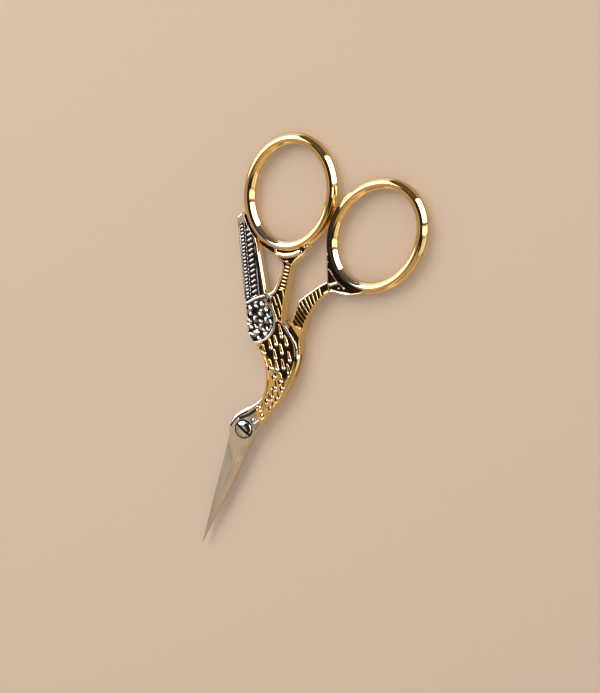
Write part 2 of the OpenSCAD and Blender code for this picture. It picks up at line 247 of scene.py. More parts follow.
def neck_field(x, y):
    """Where the feathers' field lies: all over the body, and on the head only beside the first feathers."""
    near = np.full(x.shape, FAR)
    for bx, by, turn, length, *_ in FEATHERS:
        if by < 9.0:
            c, s = math.cos(math.radians(turn)), math.sin(math.radians(turn))
            f = np.clip((x - bx) * c + (y - by) * s, 0.0, length)
            near = np.minimum(near, np.hypot(x - bx - f * c, y - by - f * s))
    return np.maximum(step(6.6, 8.6, y + 0.5 * x), step(0.75, 0.45, near))


def body_relief(x, y, d_left, d_right):
    """Feathers in a sunk field that a smooth border surrounds."""
    edge_l = np.interp(y, [5, 8, 12, 15, 17, 18, 19], [0.6, 0.8, 1.1, 1.2, 1.1, 0.8, -0.2])
    edge_r = np.interp(y, [2, 4, 6, 8, 10, 12, 16, 19, 22, 25],
                       [0.8, 0.35, 0.1, 0.1, 0.3, 0.6, 0.8, 0.95, 0.9, 0.5])
    field = step(edge_l, edge_l + 0.3, d_left) * step(edge_r, edge_r + 0.3, d_right) * neck_field(x, y)
    deep = step(13.0, 17.0, y + 0.5 * x) * np.maximum(step(0.8, 1.5, d_right), step(14.5, 16.5, y))
    h, darkening, silver = feathers(x, y, field, deep)
    # Painted shade over the sunk ground in the upper right of the field
    shade = 0.22 * step(1.5, 3.2, x + 0.3 * (y - 18)) * step(16.5, 19, y) * (h < -0.2)
    # Nickel along the throat's rim: partly the nickel of the head, partly a painted highlight
    throat = step(9.8, 7.2, y) * step(1.0, 0.5, d_left)
    # Nickel tone on the shoulder's rounded right rim makes its highlight whiter: a painted highlight
    shoulder_highlight = 0.8 * step(18.3, 19.6, y) * step(0.9, 0.6, d_right)
    return h, np.maximum(darkening, shade), np.maximum(silver, np.maximum(throat, shoulder_highlight))


TAIL_START, TAIL_TIP = np.array(TAIL_ROOT[0]), np.array(TAIL_OUTER[1])
TAIL_WAY = (TAIL_TIP - TAIL_START) / np.linalg.norm(TAIL_TIP - TAIL_START)
TAIL_FLOOR = -0.32
TAIL_END = 16.1
RIB_PITCH = 0.74
# Step from barb to barb, their slant in degrees, and where they start across the tail
BARB_PITCH, BARB_TURN, BARB_IN = 1.08, -62, 2.05


def barb_rows():
    """Slanted barbs, one after the other along the tail."""
    turn = math.degrees(math.atan2(TAIL_WAY[1], TAIL_WAY[0])) + BARB_TURN
    inwards = BARB_IN * np.array([TAIL_WAY[1], -TAIL_WAY[0]])
    return [[*(TAIL_START + TAIL_WAY * s + inwards), turn, 0.80, 0.27, 0.26, 0.30]
            for s in np.arange(0.5, 15.0, BARB_PITCH)]


BARBS = barb_rows()


def tail_relief(x, y, d_left, d_right):
    """From the outer edge: rim, narrow ribs, a thin line, slanted barbs, a ridge, and a dark step to the wall."""
    s = (x - TAIL_START[0]) * TAIL_WAY[0] + (y - TAIL_START[1]) * TAIL_WAY[1]
    t = (x - TAIL_START[0]) * TAIL_WAY[1] - (y - TAIL_START[1]) * TAIL_WAY[0]
    inside = 1 - step(TAIL_END, TAIL_END + 0.2, s)
    h = TAIL_FLOOR * step(0.3, 0.45, t) * inside
    narrow = step(0.5, 0.6, t) * step(1.22, 1.12, t) * inside
    h = np.maximum(h, TAIL_FLOOR + 0.30 * narrow * saw(s - 0.35 * t, RIB_PITCH, 0.72))
    thin = step(1.4, 1.48, t) * step(1.64, 1.56, t) * inside
    h = np.maximum(h, TAIL_FLOOR + thin * (0.16 + 0.08 * saw(s, RIB_PITCH, 0.8)))
    h = np.maximum(h, np.where(inside > 0.5, TAIL_FLOOR + bars(x, y, BARBS), -FAR))
    across = np.clip(np.abs(t - 3.4) / 0.15, 0, 1)
    h = np.maximum(h, TAIL_FLOOR + 0.29 * np.sqrt(1 - across ** 2) * inside)
    # Darker the deeper the face lies, and twice as dark near the wall: patina and painted shade
    return h, -(h + 0.08) * (1 + step(2.9, 3.3, t)), 0.0


LEG_FLOOR = -0.30
LEG_RIBS = [[-4.08 - 0.105 * k, 30.32 + 0.765 * k, 12, 0.72, 0.25, 0.27, 0.30] for k in range(1, 10)]
LEG_RIDGES = [[(-5.9, 28.0), (-4.3, 26.7), (-2.9, 25.3)],
              [(-5.0, 28.7), (-3.4, 27.2), (-2.0, 25.5)],
              [(-4.4, 29.5), (-2.9, 27.9), (-1.7, 26.4)],
              [(-4.3, 30.6), (-3.7, 30.9), (-2.9, 29.6), (-2.3, 28.2)]]
CROTCH_PEARLS = [(-5.85, 28.15, 0.62, 0.42), (-6.45, 27.75, 0.4, 0.36)]


def front_leg_relief(x, y, d_left, d_right):
    """Ribs beside a smooth rim, long ridges below them, and two pearls in the crotch."""
    rim_width = np.interp(y, [26.5, 29.0], [0.0, 0.72])
    sunk = step(24.6, 25.2, y) * step(38.3, 38.0, y)
    sunk = sunk * step(rim_width, rim_width + 0.14, d_left) * step(0.02, 0.1, d_right)
    h = np.maximum(LEG_FLOOR * sunk, LEG_FLOOR + bars(x, y, LEG_RIBS) * sunk)
    h = np.maximum(h, LEG_FLOOR + pearls(x, y, CROTCH_PEARLS))
    for line in LEG_RIDGES:
        h = np.maximum(h, LEG_FLOOR + ridge(x, y, line, 0.19, 0.28) * sunk)
    # Nickel round the crotch pearls makes them whiter: a painted highlight
    crotch = step(1.1, 0.8, np.hypot(x + 6.0, y - 28.1))
    left_rim = 0.9 * step(1.0, 0.8, d_left) * step(27.5, 29.0, y)
    # Darker the deeper the face lies: patina and painted shade
    return h, -(h + 0.1) * 1.3, np.maximum(crotch, left_rim)


def way_along(x, y, line):
    """How far along a line of points each point lies."""
    done = np.r_[0, np.cumsum(np.linalg.norm(np.diff(line, axis=0), axis=1))]
    best = np.full(x.shape, FAR)
    s = np.zeros_like(x)
    for a, b, before in zip(line[:-1], line[1:], done):
        d = b - a
        f = np.clip(((x - a[0]) * d[0] + (y - a[1]) * d[1]) / (d @ d), 0, 1)
        dist = np.hypot(x - a[0] - f * d[0], y - a[1] - f * d[1])
        near = dist < best
        best = np.where(near, dist, best)
        s = np.where(near, before + f * math.sqrt(d @ d), s)
    return s


BACK_LEG_MIDDLE = smooth(beside(BACK_HIP, BACK_ANKLE, [[0.0, 1.0], [0.46, 2.0], [0.9, 1.0]]), 10)
# The part of the shoulder's curve that the back leg passes
PASSED = SHOULDER[16:72]


def back_leg_relief(x, y, d_left, d_right):
    """Ribs across the leg, and a hollow where it passes the shoulder."""
    s = way_along(x, y, BACK_LEG_MIDDLE)
    field = step(0.45, 0.58, d_left) * step(0.04, 0.14, d_right) * step(0.9, 1.1, s) * step(12.8, 12.5, s)
    h = field * (LEG_FLOOR + 0.29 * saw(s + 0.35 * d_left, 0.95, 0.46))
    hollow = step(0.1, 0.75, ridge(x, y, PASSED, 1.15, 1.0)) * step(0.2, 0.5, d_right)
    # Darker the deeper the face lies, patina and painted shade, and painted shade in the hollow beside the
    # shoulder
    darkening = np.maximum(-(h + 0.1) * 1.3, 0.15 * hollow)
    # Nickel tone along the upper left rim makes its highlight whiter: a painted highlight
    silvered = 0.7 * step(0.5, 0.3, d_left) * step(4.2, 5.2, s)
    return np.minimum(h, -0.45 * hollow), darkening, silvered


# Leaves and pearls on the wing: place, turn in degrees, and a share that makes them long, wide and pointed
SHIELD = [(-9.0, 24.3, 15, 0.5), (-6.3, 24.1, 70, 0.4), (-4.5, 24.6, 60, 0.3), (-4.7, 23.6, 20, 0.5),
          (-3.5, 23.7, 40, 0.2), (-8.4, 23.2, -30, 0.5), (-7.1, 22.7, 10, 0.6), (-3.5, 22.0, 60, 0.4),
          (-4.3, 21.5, 80, 0.3), (-6.1, 21.3, 60, 0.3), (-7.1, 20.7, 30, 0.3), (-5.5, 20.4, 5, 0.9),
          (-6.9, 26.2, 10, 1.0), (-5.6, 22.9, 120, 0.5), (-7.9, 21.8, 60, 0.4), (-4.6, 19.3, 40, 0.6),
          (-7.8, 25.3, 100, 0.5), (-5.5, 25.5, 20, 0.5), (-3.6, 20.7, 70, 0.3), (-6.3, 19.5, 100, 0.3)]
SHIELD_BAR = [(-9.9, 24.85), (-8.6, 26.5), (-7.0, 27.95)]
SHIELD_ROWS = [[bx + 0.2, by - 0.2, 118 + 0.6 * turn, 0.3 + 0.9 * size, 0.26 + 0.2 * size, 0.40,
                0.28 - 0.38 * size] for bx, by, turn, size in SHIELD]
SHIELD_FLOOR, BAR_FLOOR = -0.30, -0.27


def wing_relief(x, y, d_left, d_right):
    """Leaves and pearls on a dark uneven ground inside a raised border, and a bar towards the tail."""
    sunk = step(0.2, 0.32, d_left) * step(0.6, 0.72, d_right)
    swell = 0.11 * np.sin(2.3 * x + 0.9 * y) * np.sin(1.9 * y - 0.7 * x + 1.0)
    ground = -0.21 + swell - 0.08 * step(0.95, 0.7, d_right)
    h = np.maximum(ground, SHIELD_FLOOR + bars(x, y, SHIELD_ROWS)) * sunk
    h = h + 0.06 * step(0.64, 0.4, d_right) * step(0.02, 0.2, d_right)
    h = np.where(ridge(x, y, SHIELD_BAR, 0.56, 1.0) > 0, np.minimum(h, BAR_FLOOR), h)
    bar = ridge(x, y, SHIELD_BAR, 0.34, 1.0)
    h = np.where(bar > 0, np.maximum(h, BAR_FLOOR + 0.33 * bar), h)
    # Darker the deeper the ground lies: patina and painted shade
    return h, -(h + 0.09) * 1.2, 0.0


def plain(x, y, d_left, d_right):
    """No relief, neither patina nor painted shade, and one metal."""
    return np.zeros_like(x), 0.0, 0.0


def build(name, points, faces, material, body, nodes=(), tones=None, angle=52):
    """A smooth-shaded piece from points in millimetres. It rides on a body, stands for nodes and fills a slot.
    tones are named values for each point that the materials read, and edges above angle stay sharp."""
    mesh = bpy.data.meshes.new(name)
    mesh.from_pydata((np.asarray(points) * MM).tolist(), [], faces)
    mesh.validate()
    mesh.update()
    shade_smooth(mesh, angle)
    for key, values in (tones or {}).items():
        layer = mesh.attributes.new(key, "FLOAT", "POINT")
        layer.data.foreach_set("value", np.clip(np.asarray(values, np.float32).reshape(-1), 0, 1))
    piece = bpy.data.objects.new(name, mesh)
    bpy.context.scene.collection.objects.link(piece)
    mesh.materials.append(material)
    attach(piece, body)
    for n in nodes:
        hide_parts(n)
    return piece


def shade_smooth(mesh, angle):
    """Smooth shading, with the edges above angle sharp."""
    for poly in mesh.polygons:
        poly.use_smooth = True
    mesh.set_sharp_from_angle(angle=math.radians(angle))


def grid_faces(rows, cols, closed_rows=False):
    """Faces between rows of points, each row a closed ring."""
    faces = []
    for k in range(rows if closed_rows else rows - 1):
        a = k * cols
        b = ((k + 1) % rows) * cols
        for i in range(cols):
            j = (i + 1) % cols
            faces.append((a + i, a + j, b + j, b + i))
    return faces


# Steps round a rim, and rows of points on a side wall
ARC, WALL = 5, 2
# Narrowest rim that the relief fades over, and the share of a rim that stays plain
MIN_RIM, PLAIN_RIM = 0.05, 0.55


def face_rows(width, rim_l, rim_r, across, rounded):
    """For rows across a slab's face: distances from the left edge, and how far the rims drop there."""
    w, rl, rr = width[:, None], rim_l[:, None], rim_r[:, None]
    inner = np.linspace(0, 1, across + 1)[1:-1]
    if not rounded:
        d = np.concatenate([np.zeros_like(w), w * inner, w], 1)
        return d, np.zeros_like(d)
    turn = np.linspace(0, math.pi / 2, ARC + 1)
    away, down = 1 - np.cos(turn), 1 - np.sin(turn)
    d = np.concatenate([rl * away, rl + (w - rl - rr) * inner, w - rr * away[::-1]], 1)
    drop = np.concatenate([rl * down, np.zeros((len(w), across - 1)), rr * down[::-1]], 1)
    return d, drop


def cap_faces(first, n_low, n_high, turned):
    """Faces over the end of a slab, whose ring of points starts at first. turned flips them."""
    top = first + n_low + WALL
    last = top + n_high - 1
    count = min(n_low, n_high)
    low = [first + round(i * (n_low - 1) / (count - 1)) for i in range(count)]
    high = [last - round(i * (n_high - 1) / (count - 1)) for i in range(count)]
    faces = []
    for a, b, c, d in zip(low[:-1], low[1:], high[1:], high[:-1]):
        faces.append((a, d, c, b) if turned else (a, b, c, d))
    # Along the walls' edges, where the faces above meet the walls' rows of points
    for side in (tuple(range(first + n_low - 1, top + 1)), (*range(last, last + WALL + 1), first)):
        faces.append(side[::-1] if turned else side)
    return faces


def slab(name, left, right, low, high, material, body, nodes=(), relief_top=plain, relief_low=plain,
         round_left=0.35, round_right=0.35, across=64, round_low=True, round_high=True, side_metal=0.0):
    """A plate between two edges, with rounded rims and relief on its faces. A relief function takes points and
    their distances from the two edges, and gives the height, the patina and painted shade, and the share of the
    other metal there, which in places is a painted highlight. side_metal is that share on the walls."""
    n = len(left)
    width = np.linalg.norm(right - left, axis=1)
    way = (right - left) / width[:, None]
    rim_l, rim_r = np.minimum(round_left, 0.45 * width), np.minimum(round_right, 0.45 * width)
    sheets, darkening, other = [], [], []
    for level, up, rounded, relief in ((low, -1, round_low, relief_low), (high, 1, round_high, relief_top)):
        d, drop = face_rows(width, rim_l, rim_r, across, rounded)
        xy = left[:, None, :] + d[:, :, None] * way[:, None, :]
        x, y = xy[..., 0], xy[..., 1]
        d_right = width[:, None] - d
        in_left = d / np.maximum(rim_l[:, None], MIN_RIM)
        in_right = d_right / np.maximum(rim_r[:, None], MIN_RIM)
        inner = step(0.0, 0.3, np.minimum(in_left, in_right) - PLAIN_RIM)
        rims = np.maximum(step(PLAIN_RIM, 0.1, in_left), step(PLAIN_RIM, 0.1, in_right))
        h, patina_and_shade, second = relief(x, y, d, d_right)
        sheets.append(np.stack([x, y, level + up * (h * inner - drop)], 2))
        darkening.append(patina_and_shade * inner)
        other.append(np.maximum(second, side_metal * rims) + np.zeros_like(x))
    bottom, top = sheets
    steps = np.linspace(0, 1, WALL + 2)[1:-1]
    right_wall = np.stack([bottom[:, -1] + f * (top[:, -1] - bottom[:, -1]) for f in steps], 1)
    left_wall = np.stack([top[:, 0] + f * (bottom[:, 0] - top[:, 0]) for f in steps], 1)
    rings = np.concatenate([bottom, right_wall, top[:, ::-1], left_wall], 1)
    clean = np.zeros((n, WALL))
    metal_mix = clean + side_metal
    tones = {"patina_and_shade": np.concatenate([darkening[0], clean, darkening[1][:, ::-1], clean], 1),
             "other_metal_and_highlight": np.concatenate([other[0], metal_mix, other[1][:, ::-1], metal_mix], 1)}
    cols = rings.shape[1]
    faces = grid_faces(n, cols)
    for first in (0, (n - 1) * cols):
        faces += cap_faces(first, bottom.shape[1], top.shape[1], first == 0)
    return build(name, rings.reshape(-1, 3), faces, material, body, nodes, tones)


# Painted shade on the lower left of the back bow, and that side's direction in degrees
FAINT = 0.3
SHADED_TURN = -140


def bow(half, side, silvered):
    """A bow's wire, with nickel tone on the gold near the angle silvered where it meets the leg: partly worn
    gold, partly a whiter painted highlight.
    """
    steps, cols = 200, 40
    points, silver, dark = [], [], []
    for k in range(steps):
        a = 2 * math.pi * k / steps
        way_out = np.array([HALF_LONG * math.cos(a), HALF_WIDE * math.sin(a)])
        way_out /= np.linalg.norm(way_out)
        middle = np.array([HALF_WIDE * math.cos(a), HALF_LONG * math.sin(a)])
        for i in range(cols):
            b = 2 * math.pi * i / cols
            outward, upward = math.cos(b), math.sin(b)
            q = middle + (OUT - SKIN) * outward * way_out
            t = LEAN * -side
            x = side * BOW_X + q[0] * math.cos(t) - q[1] * math.sin(t)
            y = BOW_Y + q[0] * math.sin(t) + q[1] * math.cos(t)
            points.append((x, y, DEPTH / 2 * (1 + upward)))
            turn = math.degrees(math.atan2(y - BOW_Y, side * x - BOW_X))
            # Nickel tone near the leg: partly worn gold, partly a painted highlight that makes it whiter
            silver.append(0.8 * step(38, 18, abs(turn + silvered)) * step(-0.5, 0.2, upward))
            # Painted shade on the back bow's lower left
            shaded = step(62, 44, abs((turn - SHADED_TURN + 180) % 360 - 180)) * step(0.0, 0.3, upward)
            shaded *= step(-0.1, 0.1, outward) * step(0.92, 0.84, outward)
            dark.append(FAINT * shaded * (side > 0))
    tones = {"other_metal_and_highlight": silver, "patina_and_shade": dark}
    faces = grid_faces(steps, cols, closed_rows=True)
    return build(half + "_bow_wire", points, faces, GOLD, half + "_half", [half + "_bow"], tones)


def new_material(name):
    """A material, its node tree and its shader."""
    mat = bpy.data.materials.new(name)
    mat.use_nodes = True
    return mat, mat.node_tree, mat.node_tree.nodes["Principled BSDF"]


def noise(tree, vector, scale, detail):
    """Noise from 0 to 1."""
    node = tree.nodes.new("ShaderNodeTexNoise")
    node.inputs["Scale"].default_value = scale
    node.inputs["Detail"].default_value = detail
    if vector is not None:
        tree.links.new(vector, node.inputs["Vector"])
    return node.outputs["Fac"]


def spread(tree, value, ends, results=(0.0, 1.0), kind="LINEAR"):
    """A value that runs through results while it goes from one end to the other."""
    node = tree.nodes.new("ShaderNodeMapRange")
    node.interpolation_type = kind
    node.inputs["From Min"].default_value, node.inputs["From Max"].default_value = ends
    node.inputs["To Min"].default_value, node.inputs["To Max"].default_value = results
    tree.links.new(value, node.inputs["Value"])
    return node.outputs["Result"]


def tone(tree, name):
    """A value that the mesh holds for each point."""
    node = tree.nodes.new("ShaderNodeAttribute")
    node.attribute_name = name
    return node.outputs["Fac"]


def mixed(tree, share, a, b):
    """Colour a, which is a socket or three numbers, and a share of the three numbers b."""
    node = tree.nodes.new("ShaderNodeMix")
    node.data_type = "RGBA"
    tree.links.new(share, node.inputs["Factor"])
    if isinstance(a, tuple):
        node.inputs["A"].default_value = (*a, 1)
    else:
        tree.links.new(a, node.inputs["A"])
    node.inputs["B"].default_value = (*b, 1)
    return node.outputs["Result"]


def maths(tree, kind, *values):
    """A sum or function of sockets and numbers."""
    node = tree.nodes.new("ShaderNodeMath")
    node.operation = kind
    for socket, value in zip(node.inputs, values):
        if isinstance(value, (int, float)):
            socket.default_value = value
        else:
            tree.links.new(value, socket)
    return node.outputs["Value"]


def roughen(tree, shader, height, strength, distance):
    """A fine unevenness of the surface, distance deep in metres."""
    node = tree.nodes.new("ShaderNodeBump")
    node.inputs["Strength"].default_value = strength
    node.inputs["Distance"].default_value = distance
    tree.links.new(height, node.inputs["Height"])
    tree.links.new(node.outputs["Normal"], shader.inputs["Normal"])


# Scale of the spots of wear and how much of their noise shows, where patina and painted shade start and end the
# darkening, how much rougher the darkened parts are, and the depth of the grain in metres
SPOTS, SPOT_RANGE = 260.0, (0.35, 0.75)
DARKEN_RANGE, DARKEN_ROUGH = (0.02, 0.16), 0.3
GRAIN_DEPTH = 0.0001


def metal(name, bright, wear, dark, other, rough, bump, grain=2600.0, streak=None):
    """Polished metal that goes in spots from bright to wear. It is darkened where the points' patina_and_shade
    says, which is patina and painted shade in hollows and painted shade in other places, and mixed with the other
    metal where other_metal_and_highlight does, which in places is a painted highlight. streak stretches the grain
    along the piece."""
    mat, tree, shader = new_material(name)
    shader.inputs["Metallic"].default_value = 1.0
    place = tree.nodes.new("ShaderNodeTexCoord").outputs["Object"]
    spots = spread(tree, noise(tree, place, SPOTS, 4.0), SPOT_RANGE)
    # The other metal: the piece's second metal, and in places a nickel tone that paints a whiter highlight
    metal_mix = mixed(tree, tone(tree, "other_metal_and_highlight"), mixed(tree, spots, bright, wear), other)
    darkened = spread(tree, tone(tree, "patina_and_shade"), DARKEN_RANGE, kind="SMOOTHSTEP")
    tree.links.new(mixed(tree, darkened, metal_mix, dark), shader.inputs["Base Color"])
    if streak:
        mapping = tree.nodes.new("ShaderNodeMapping")
        mapping.inputs["Scale"].default_value = streak
        tree.links.new(place, mapping.inputs["Vector"])
        place = mapping.outputs["Vector"]
    fine = noise(tree, place, grain, 3.0)
    gloss = spread(tree, fine, (0.0, 1.0), rough)
    tree.links.new(maths(tree, "MULTIPLY_ADD", darkened, DARKEN_ROUGH, gloss), shader.inputs["Roughness"])
    roughen(tree, shader, fine, bump, GRAIN_DEPTH)
    return mat


GOLD_TONE, NICKEL_TONE = (0.90, 0.64, 0.29), (0.70, 0.67, 0.64)
GOLD = metal("polished_gold", GOLD_TONE, wear=(0.85, 0.58, 0.25), dark=(0.022, 0.014, 0.008), other=NICKEL_TONE,
             rough=(0.045, 0.10), bump=0.008)
NICKEL = metal("polished_nickel", NICKEL_TONE, wear=(0.63, 0.60, 0.57), dark=(0.020, 0.019, 0.020),
               other=GOLD_TONE, rough=(0.08, 0.15), bump=0.01)
STEEL = metal("satin_steel", (0.74, 0.69, 0.63), wear=(0.69, 0.64, 0.57), dark=(0.03, 0.03, 0.03),
              other=GOLD_TONE, rough=(0.18, 0.28), bump=0.012, grain=900.0, streak=(9.0, 0.6, 1.0))

# Rows along the neck and the breast. The back body ends a few short of the notch, where the front leg passes at
# full depth.
N_NECK, N_BREAST, NOTCH_ROWS = 230, 150, 8
body_left = np.vstack([along(BELLY, N_NECK), along(BREAST, N_BREAST)[1:]])
body_right = np.vstack([along(RUMP, N_NECK), along(SHOULDER, N_BREAST)[1:]])
slab("front_body_feathers", body_left, body_right, FRONT_LOW, FACE_TOP, GOLD, "front_half", ["front_body"],
     relief_top=body_relief, round_low=False, across=70,
     round_left=np.r_[np.full(N_NECK + 1, 0.4), np.full(N_BREAST, 0.1)],
     round_right=np.interp(body_right[:, 1], [6, 12, 17, 20, 22.5, 24], [0.35, 0.5, 0.8, 1.1, 1.0, 0.3]))
back_left = np.vstack([along(BELLY, N_NECK), moved(along(BREAST, N_BREAST), LAP)[1:-NOTCH_ROWS]])
back_right = np.vstack([along(RUMP, N_NECK), moved(along(SHOULDER, N_BREAST), LAP)[1:-NOTCH_ROWS]])
slab("back_body_feathers", back_left, back_right, FACE_LOW, BACK_TOP, GOLD, "back_half", ["back_body"],
     relief_low=body_relief, round_high=False, across=70)

wing_right = np.vstack([along(BREAST, 120), along(CROWN, 72)[1:],
                        along([CROWN[-1], CROTCH, TAIL_ROOT[1]], 24)[1:]])
wing_left = np.vstack([along(WING_BACK, len(wing_right) - 2), [TAIL_ROOT[0]]])
slab("front_wing_shield", wing_left, wing_right, FACE_LOW, FACE_TOP, NICKEL, "front_half", ["front_wing"],
     relief_top=wing_relief, relief_low=wing_relief, across=70, round_right=0.12, side_metal=1.0)

N_TAIL = 230
slab("front_tail_feathers", along(TAIL_OUTER, N_TAIL), along(TAIL_INNER, N_TAIL), FACE_LOW, FACE_TOP, NICKEL,
     "front_half", ["front_tail"], relief_top=tail_relief, relief_low=tail_relief, across=56,
     side_metal=0.6,
     round_right=np.interp(np.linspace(0, 1, N_TAIL + 1), [0, 0.5, 0.75, 1], [0.9, 0.9, 0.3, 0.2]))

leg_left = np.vstack([along(CROWN, 50)[1:], along(FRONT_CALF, 170)])
leg_root = along([CROWN[0], [-1.75, 24.5], [-1.2, 24.78]], 12)[:-1]
leg_right = np.vstack([leg_root, along(FRONT_SHIN, len(leg_left) - len(leg_root) - 1)])
slab("front_leg_ribs", leg_left, leg_right, FACE_LOW, FACE_TOP, GOLD, "front_half", ["front_leg"],
     relief_top=front_leg_relief, relief_low=front_leg_relief, round_right=0.12)

N_BACK_LEG, N_SHOULDER = 220, 200
shoulder_edge = moved(along(SHOULDER, N_SHOULDER), LAP)


def clear_of_body(p):
    """Moves points that lie under the front body's shoulder out to its edge."""
    out = p.copy()
    for i, q in enumerate(p):
        j = np.argmin(np.linalg.norm(shoulder_edge - q, axis=1))
        a, b = shoulder_edge[max(j - 1, 0)], shoulder_edge[min(j + 1, N_SHOULDER)]
        if (b[0] - a[0]) * (q[1] - a[1]) - (b[1] - a[1]) * (q[0] - a[0]) > 0:
            out[i] = shoulder_edge[j]
    return out


slab("back_leg_ribs", clear_of_body(along(BACK_SHIN, N_BACK_LEG)), clear_of_body(along(BACK_CALF, N_BACK_LEG)),
     FACE_LOW, FACE_TOP, GOLD, "back_half", ["back_leg"], relief_top=back_leg_relief,
     relief_low=back_leg_relief, across=60, round_right=0.12)


# Relief on the webs at the bows' feet: ridges [line, half width, height], and pearls
SADDLE = {
    "front": ([([(-7.4, 37.2), (-6.2, 37.5), (-4.5, 38.5), (-3.3, 39.7)], 0.62, 0.50),
               ([(-3.25, 37.4), (-2.9, 38.3), (-2.2, 39.3), (-1.7, 40.4), (-1.5, 42.4)], 0.34, 0.44),
               ([(-8.8, 38.2), (-7.6, 37.0), (-6.7, 35.9)], 0.28, 0.36)],
              [(-5.1, 36.75, 0.34, 0.46), (-4.5, 36.0, 0.26, 0.36), (-2.7, 41.1, 0.3, 0.40),
               (-1.75, 41.3, 0.42, 0.5), (-2.55, 38.95, 0.36, 0.5)]),
    "back": ([([(4.1, 39.3), (5.2, 38.6), (6.5, 37.9), (8.4, 37.3)], 0.26, 0.40),
              ([(5.5, 36.5), (6.2, 37.1), (6.7, 37.5)], 0.42, 0.46),
              ([(3.1, 40.6), (3.5, 39.0), (4.2, 37.6)], 0.26, 0.36),
              ([(6.2, 35.6), (8.2, 36.0), (10.2, 36.6)], 0.36, 0.36)],
             [(8.5, 37.2, 0.34, 0.46), (7.5, 36.7, 0.28, 0.38)])}
WEB_FLOOR = -0.44


def collar(half, edge, start, end, side):
    """Web between an outer edge and a bow's wire, with the saddle, curls and pearls that lie on it.
    start and end are angles round the bow, whose side is -1 or 1."""
    lines, domes = SADDLE[half]

    def top(x, y, d_left, d_right):
        ring = np.clip(d_left / OUT, 0, 1)
        tube = DEPTH / 2 * (1 + np.sqrt(1 - ring ** 2)) - FACE_TOP
        raised = pearls(x, y, domes)
        for line, half_width, height in lines:
            raised = np.maximum(raised, ridge(x, y, line, half_width, height))
        web = WEB_FLOOR + 0.38 * (1 - step(0.30, 0.48, d_right))
        web = np.maximum(web, np.where(raised > 0, WEB_FLOOR + raised, -FAR))
        # On the back collar, painted shade on the wire's lower left, as on the back bow; elsewhere darker the
        # deeper the web lies: patina and painted shade
        shaded = FAINT * step(0.05, 0.12, ring) * step(0.92, 0.84, ring) * (half == "back")
        darkening = np.where(tube > web, shaded, -(web + 0.2) * 1.5)
        # Nickel tone on the raised saddle, curls and pearls whitens their highlights: a painted highlight
        return np.minimum(np.maximum(tube, web), INSET - SKIN), darkening, 0.5 * step(0.1, 0.3, raised)

    wire = along(rim([[a, 0] for a in np.linspace(start, end, 60)], side), 180)
    slab(half + "_collar", wire, along(edge, 180), FACE_LOW, FACE_TOP, GOLD, half + "_half",
         relief_top=top, relief_low=top, round_left=0.02, round_right=0.3)


bow("front", -1, 92)
bow("back", 1, 105)
collar("front", np.vstack([smooth(FRONT_SPUR), smooth(FRONT_CUFF)]), -103, -40, -1)
collar("back", np.vstack([smooth(BACK_CUFF[::-1]), smooth(BACK_SPUR[::-1])]), -43, -101, 1)

# Rows of a blade from tip to root: share of its length, edge, spine, where the land starts and ends, and the
# heights of spine and land
BLADE_ROWS = [[1, 0.3, 0.42, 0.345, 0.375, 0.12, 0.2], [0.9, -0.08, 0.62, 0.33, 0.39, 0.3, 0.5],
              [0.72, -0.75, 1.12, 0.36, 0.44, 0.5, 0.85], [0.54, -1.45, 1.6, 0.38, 0.48, 0.65, 1.1],
              [0.36, -2.1, 1.95, 0.38, 0.52, 0.78, 1.3], [0.27, -2.42, 2.08, 0.15, 0.6, 0.85, 1.4],
              [0.2, -2.7, 2.17, -0.75, 0.9, 0.92, 1.5], [0.125, -3, 2.25, -2, 1.25, 1, 1.6]]
EDGE_LAND = 0.08
# Lines on the head: a dark one along its rim, which is painted shade, and the groove that runs round the screw to
# the feathers
RIM_LINE = [(-3.0, -0.7), (-2.72, 0.8), (-2.2, 2.0), (-1.45, 3.05), (-0.75, 3.9)]
GROOVE = [(-1.75, 1.7), (-1.08, 2.3), (-0.19, 3.25), (0.5, 4.4), (1.05, 5.5), (1.3, 6.3)]
# Radii of the screw's head and shank, of its recess and of the flat that the relief keeps clear of, and the
# recess's depth
SCREW_HEAD, SCREW_SHANK = 1.78, 1.05
RECESS_R, FLAT_R = 1.98, 2.15
RECESS = 0.25


def blade_table():
    """Rows from tip to neck: left x and y, right x and y, widths of the left and right facets, heights of edge,
    spine and land, and how round the facets are."""
    rows = []
    for share, edge, spine, land_from, land_to, spine_high, land in BLADE_ROWS:
        y = -share * BLADE
        rows.append([edge, y, spine, y, land_from - edge, spine - land_to, EDGE_LAND, spine_high, land, 0])
    head_rows = 10
    left, right = along(THROAT, head_rows), along(NAPE, head_rows)
    for i in range(head_rows + 1):
        s = i / head_rows
        land = BACK_TOP - 0.15 * max(0, s - 0.6) / 0.4
        facet = np.interp(s, [0, 0.25, 0.6, 1], [0.3, 0.85, 0.9, 0.4])
        edge_high = land - np.interp(s, [0, 0.3, 0.6, 1], [1.08, 0.9, 0.75, 0.4])
        rows.append([*left[i], *right[i], facet, 0.5 - 0.15 * s, edge_high, land - 0.48 + 0.13 * s, land,
                     np.interp(s, [0, 0.2], [0.5, 1])])
    # Steps between two rows, on the blade and on the head
    on_blade, on_head = 12, 16
    return np.vstack([smooth(rows, on_blade)[:on_blade * len(BLADE_ROWS)],
                      smooth(rows, on_head)[on_head * len(BLADE_ROWS):]])


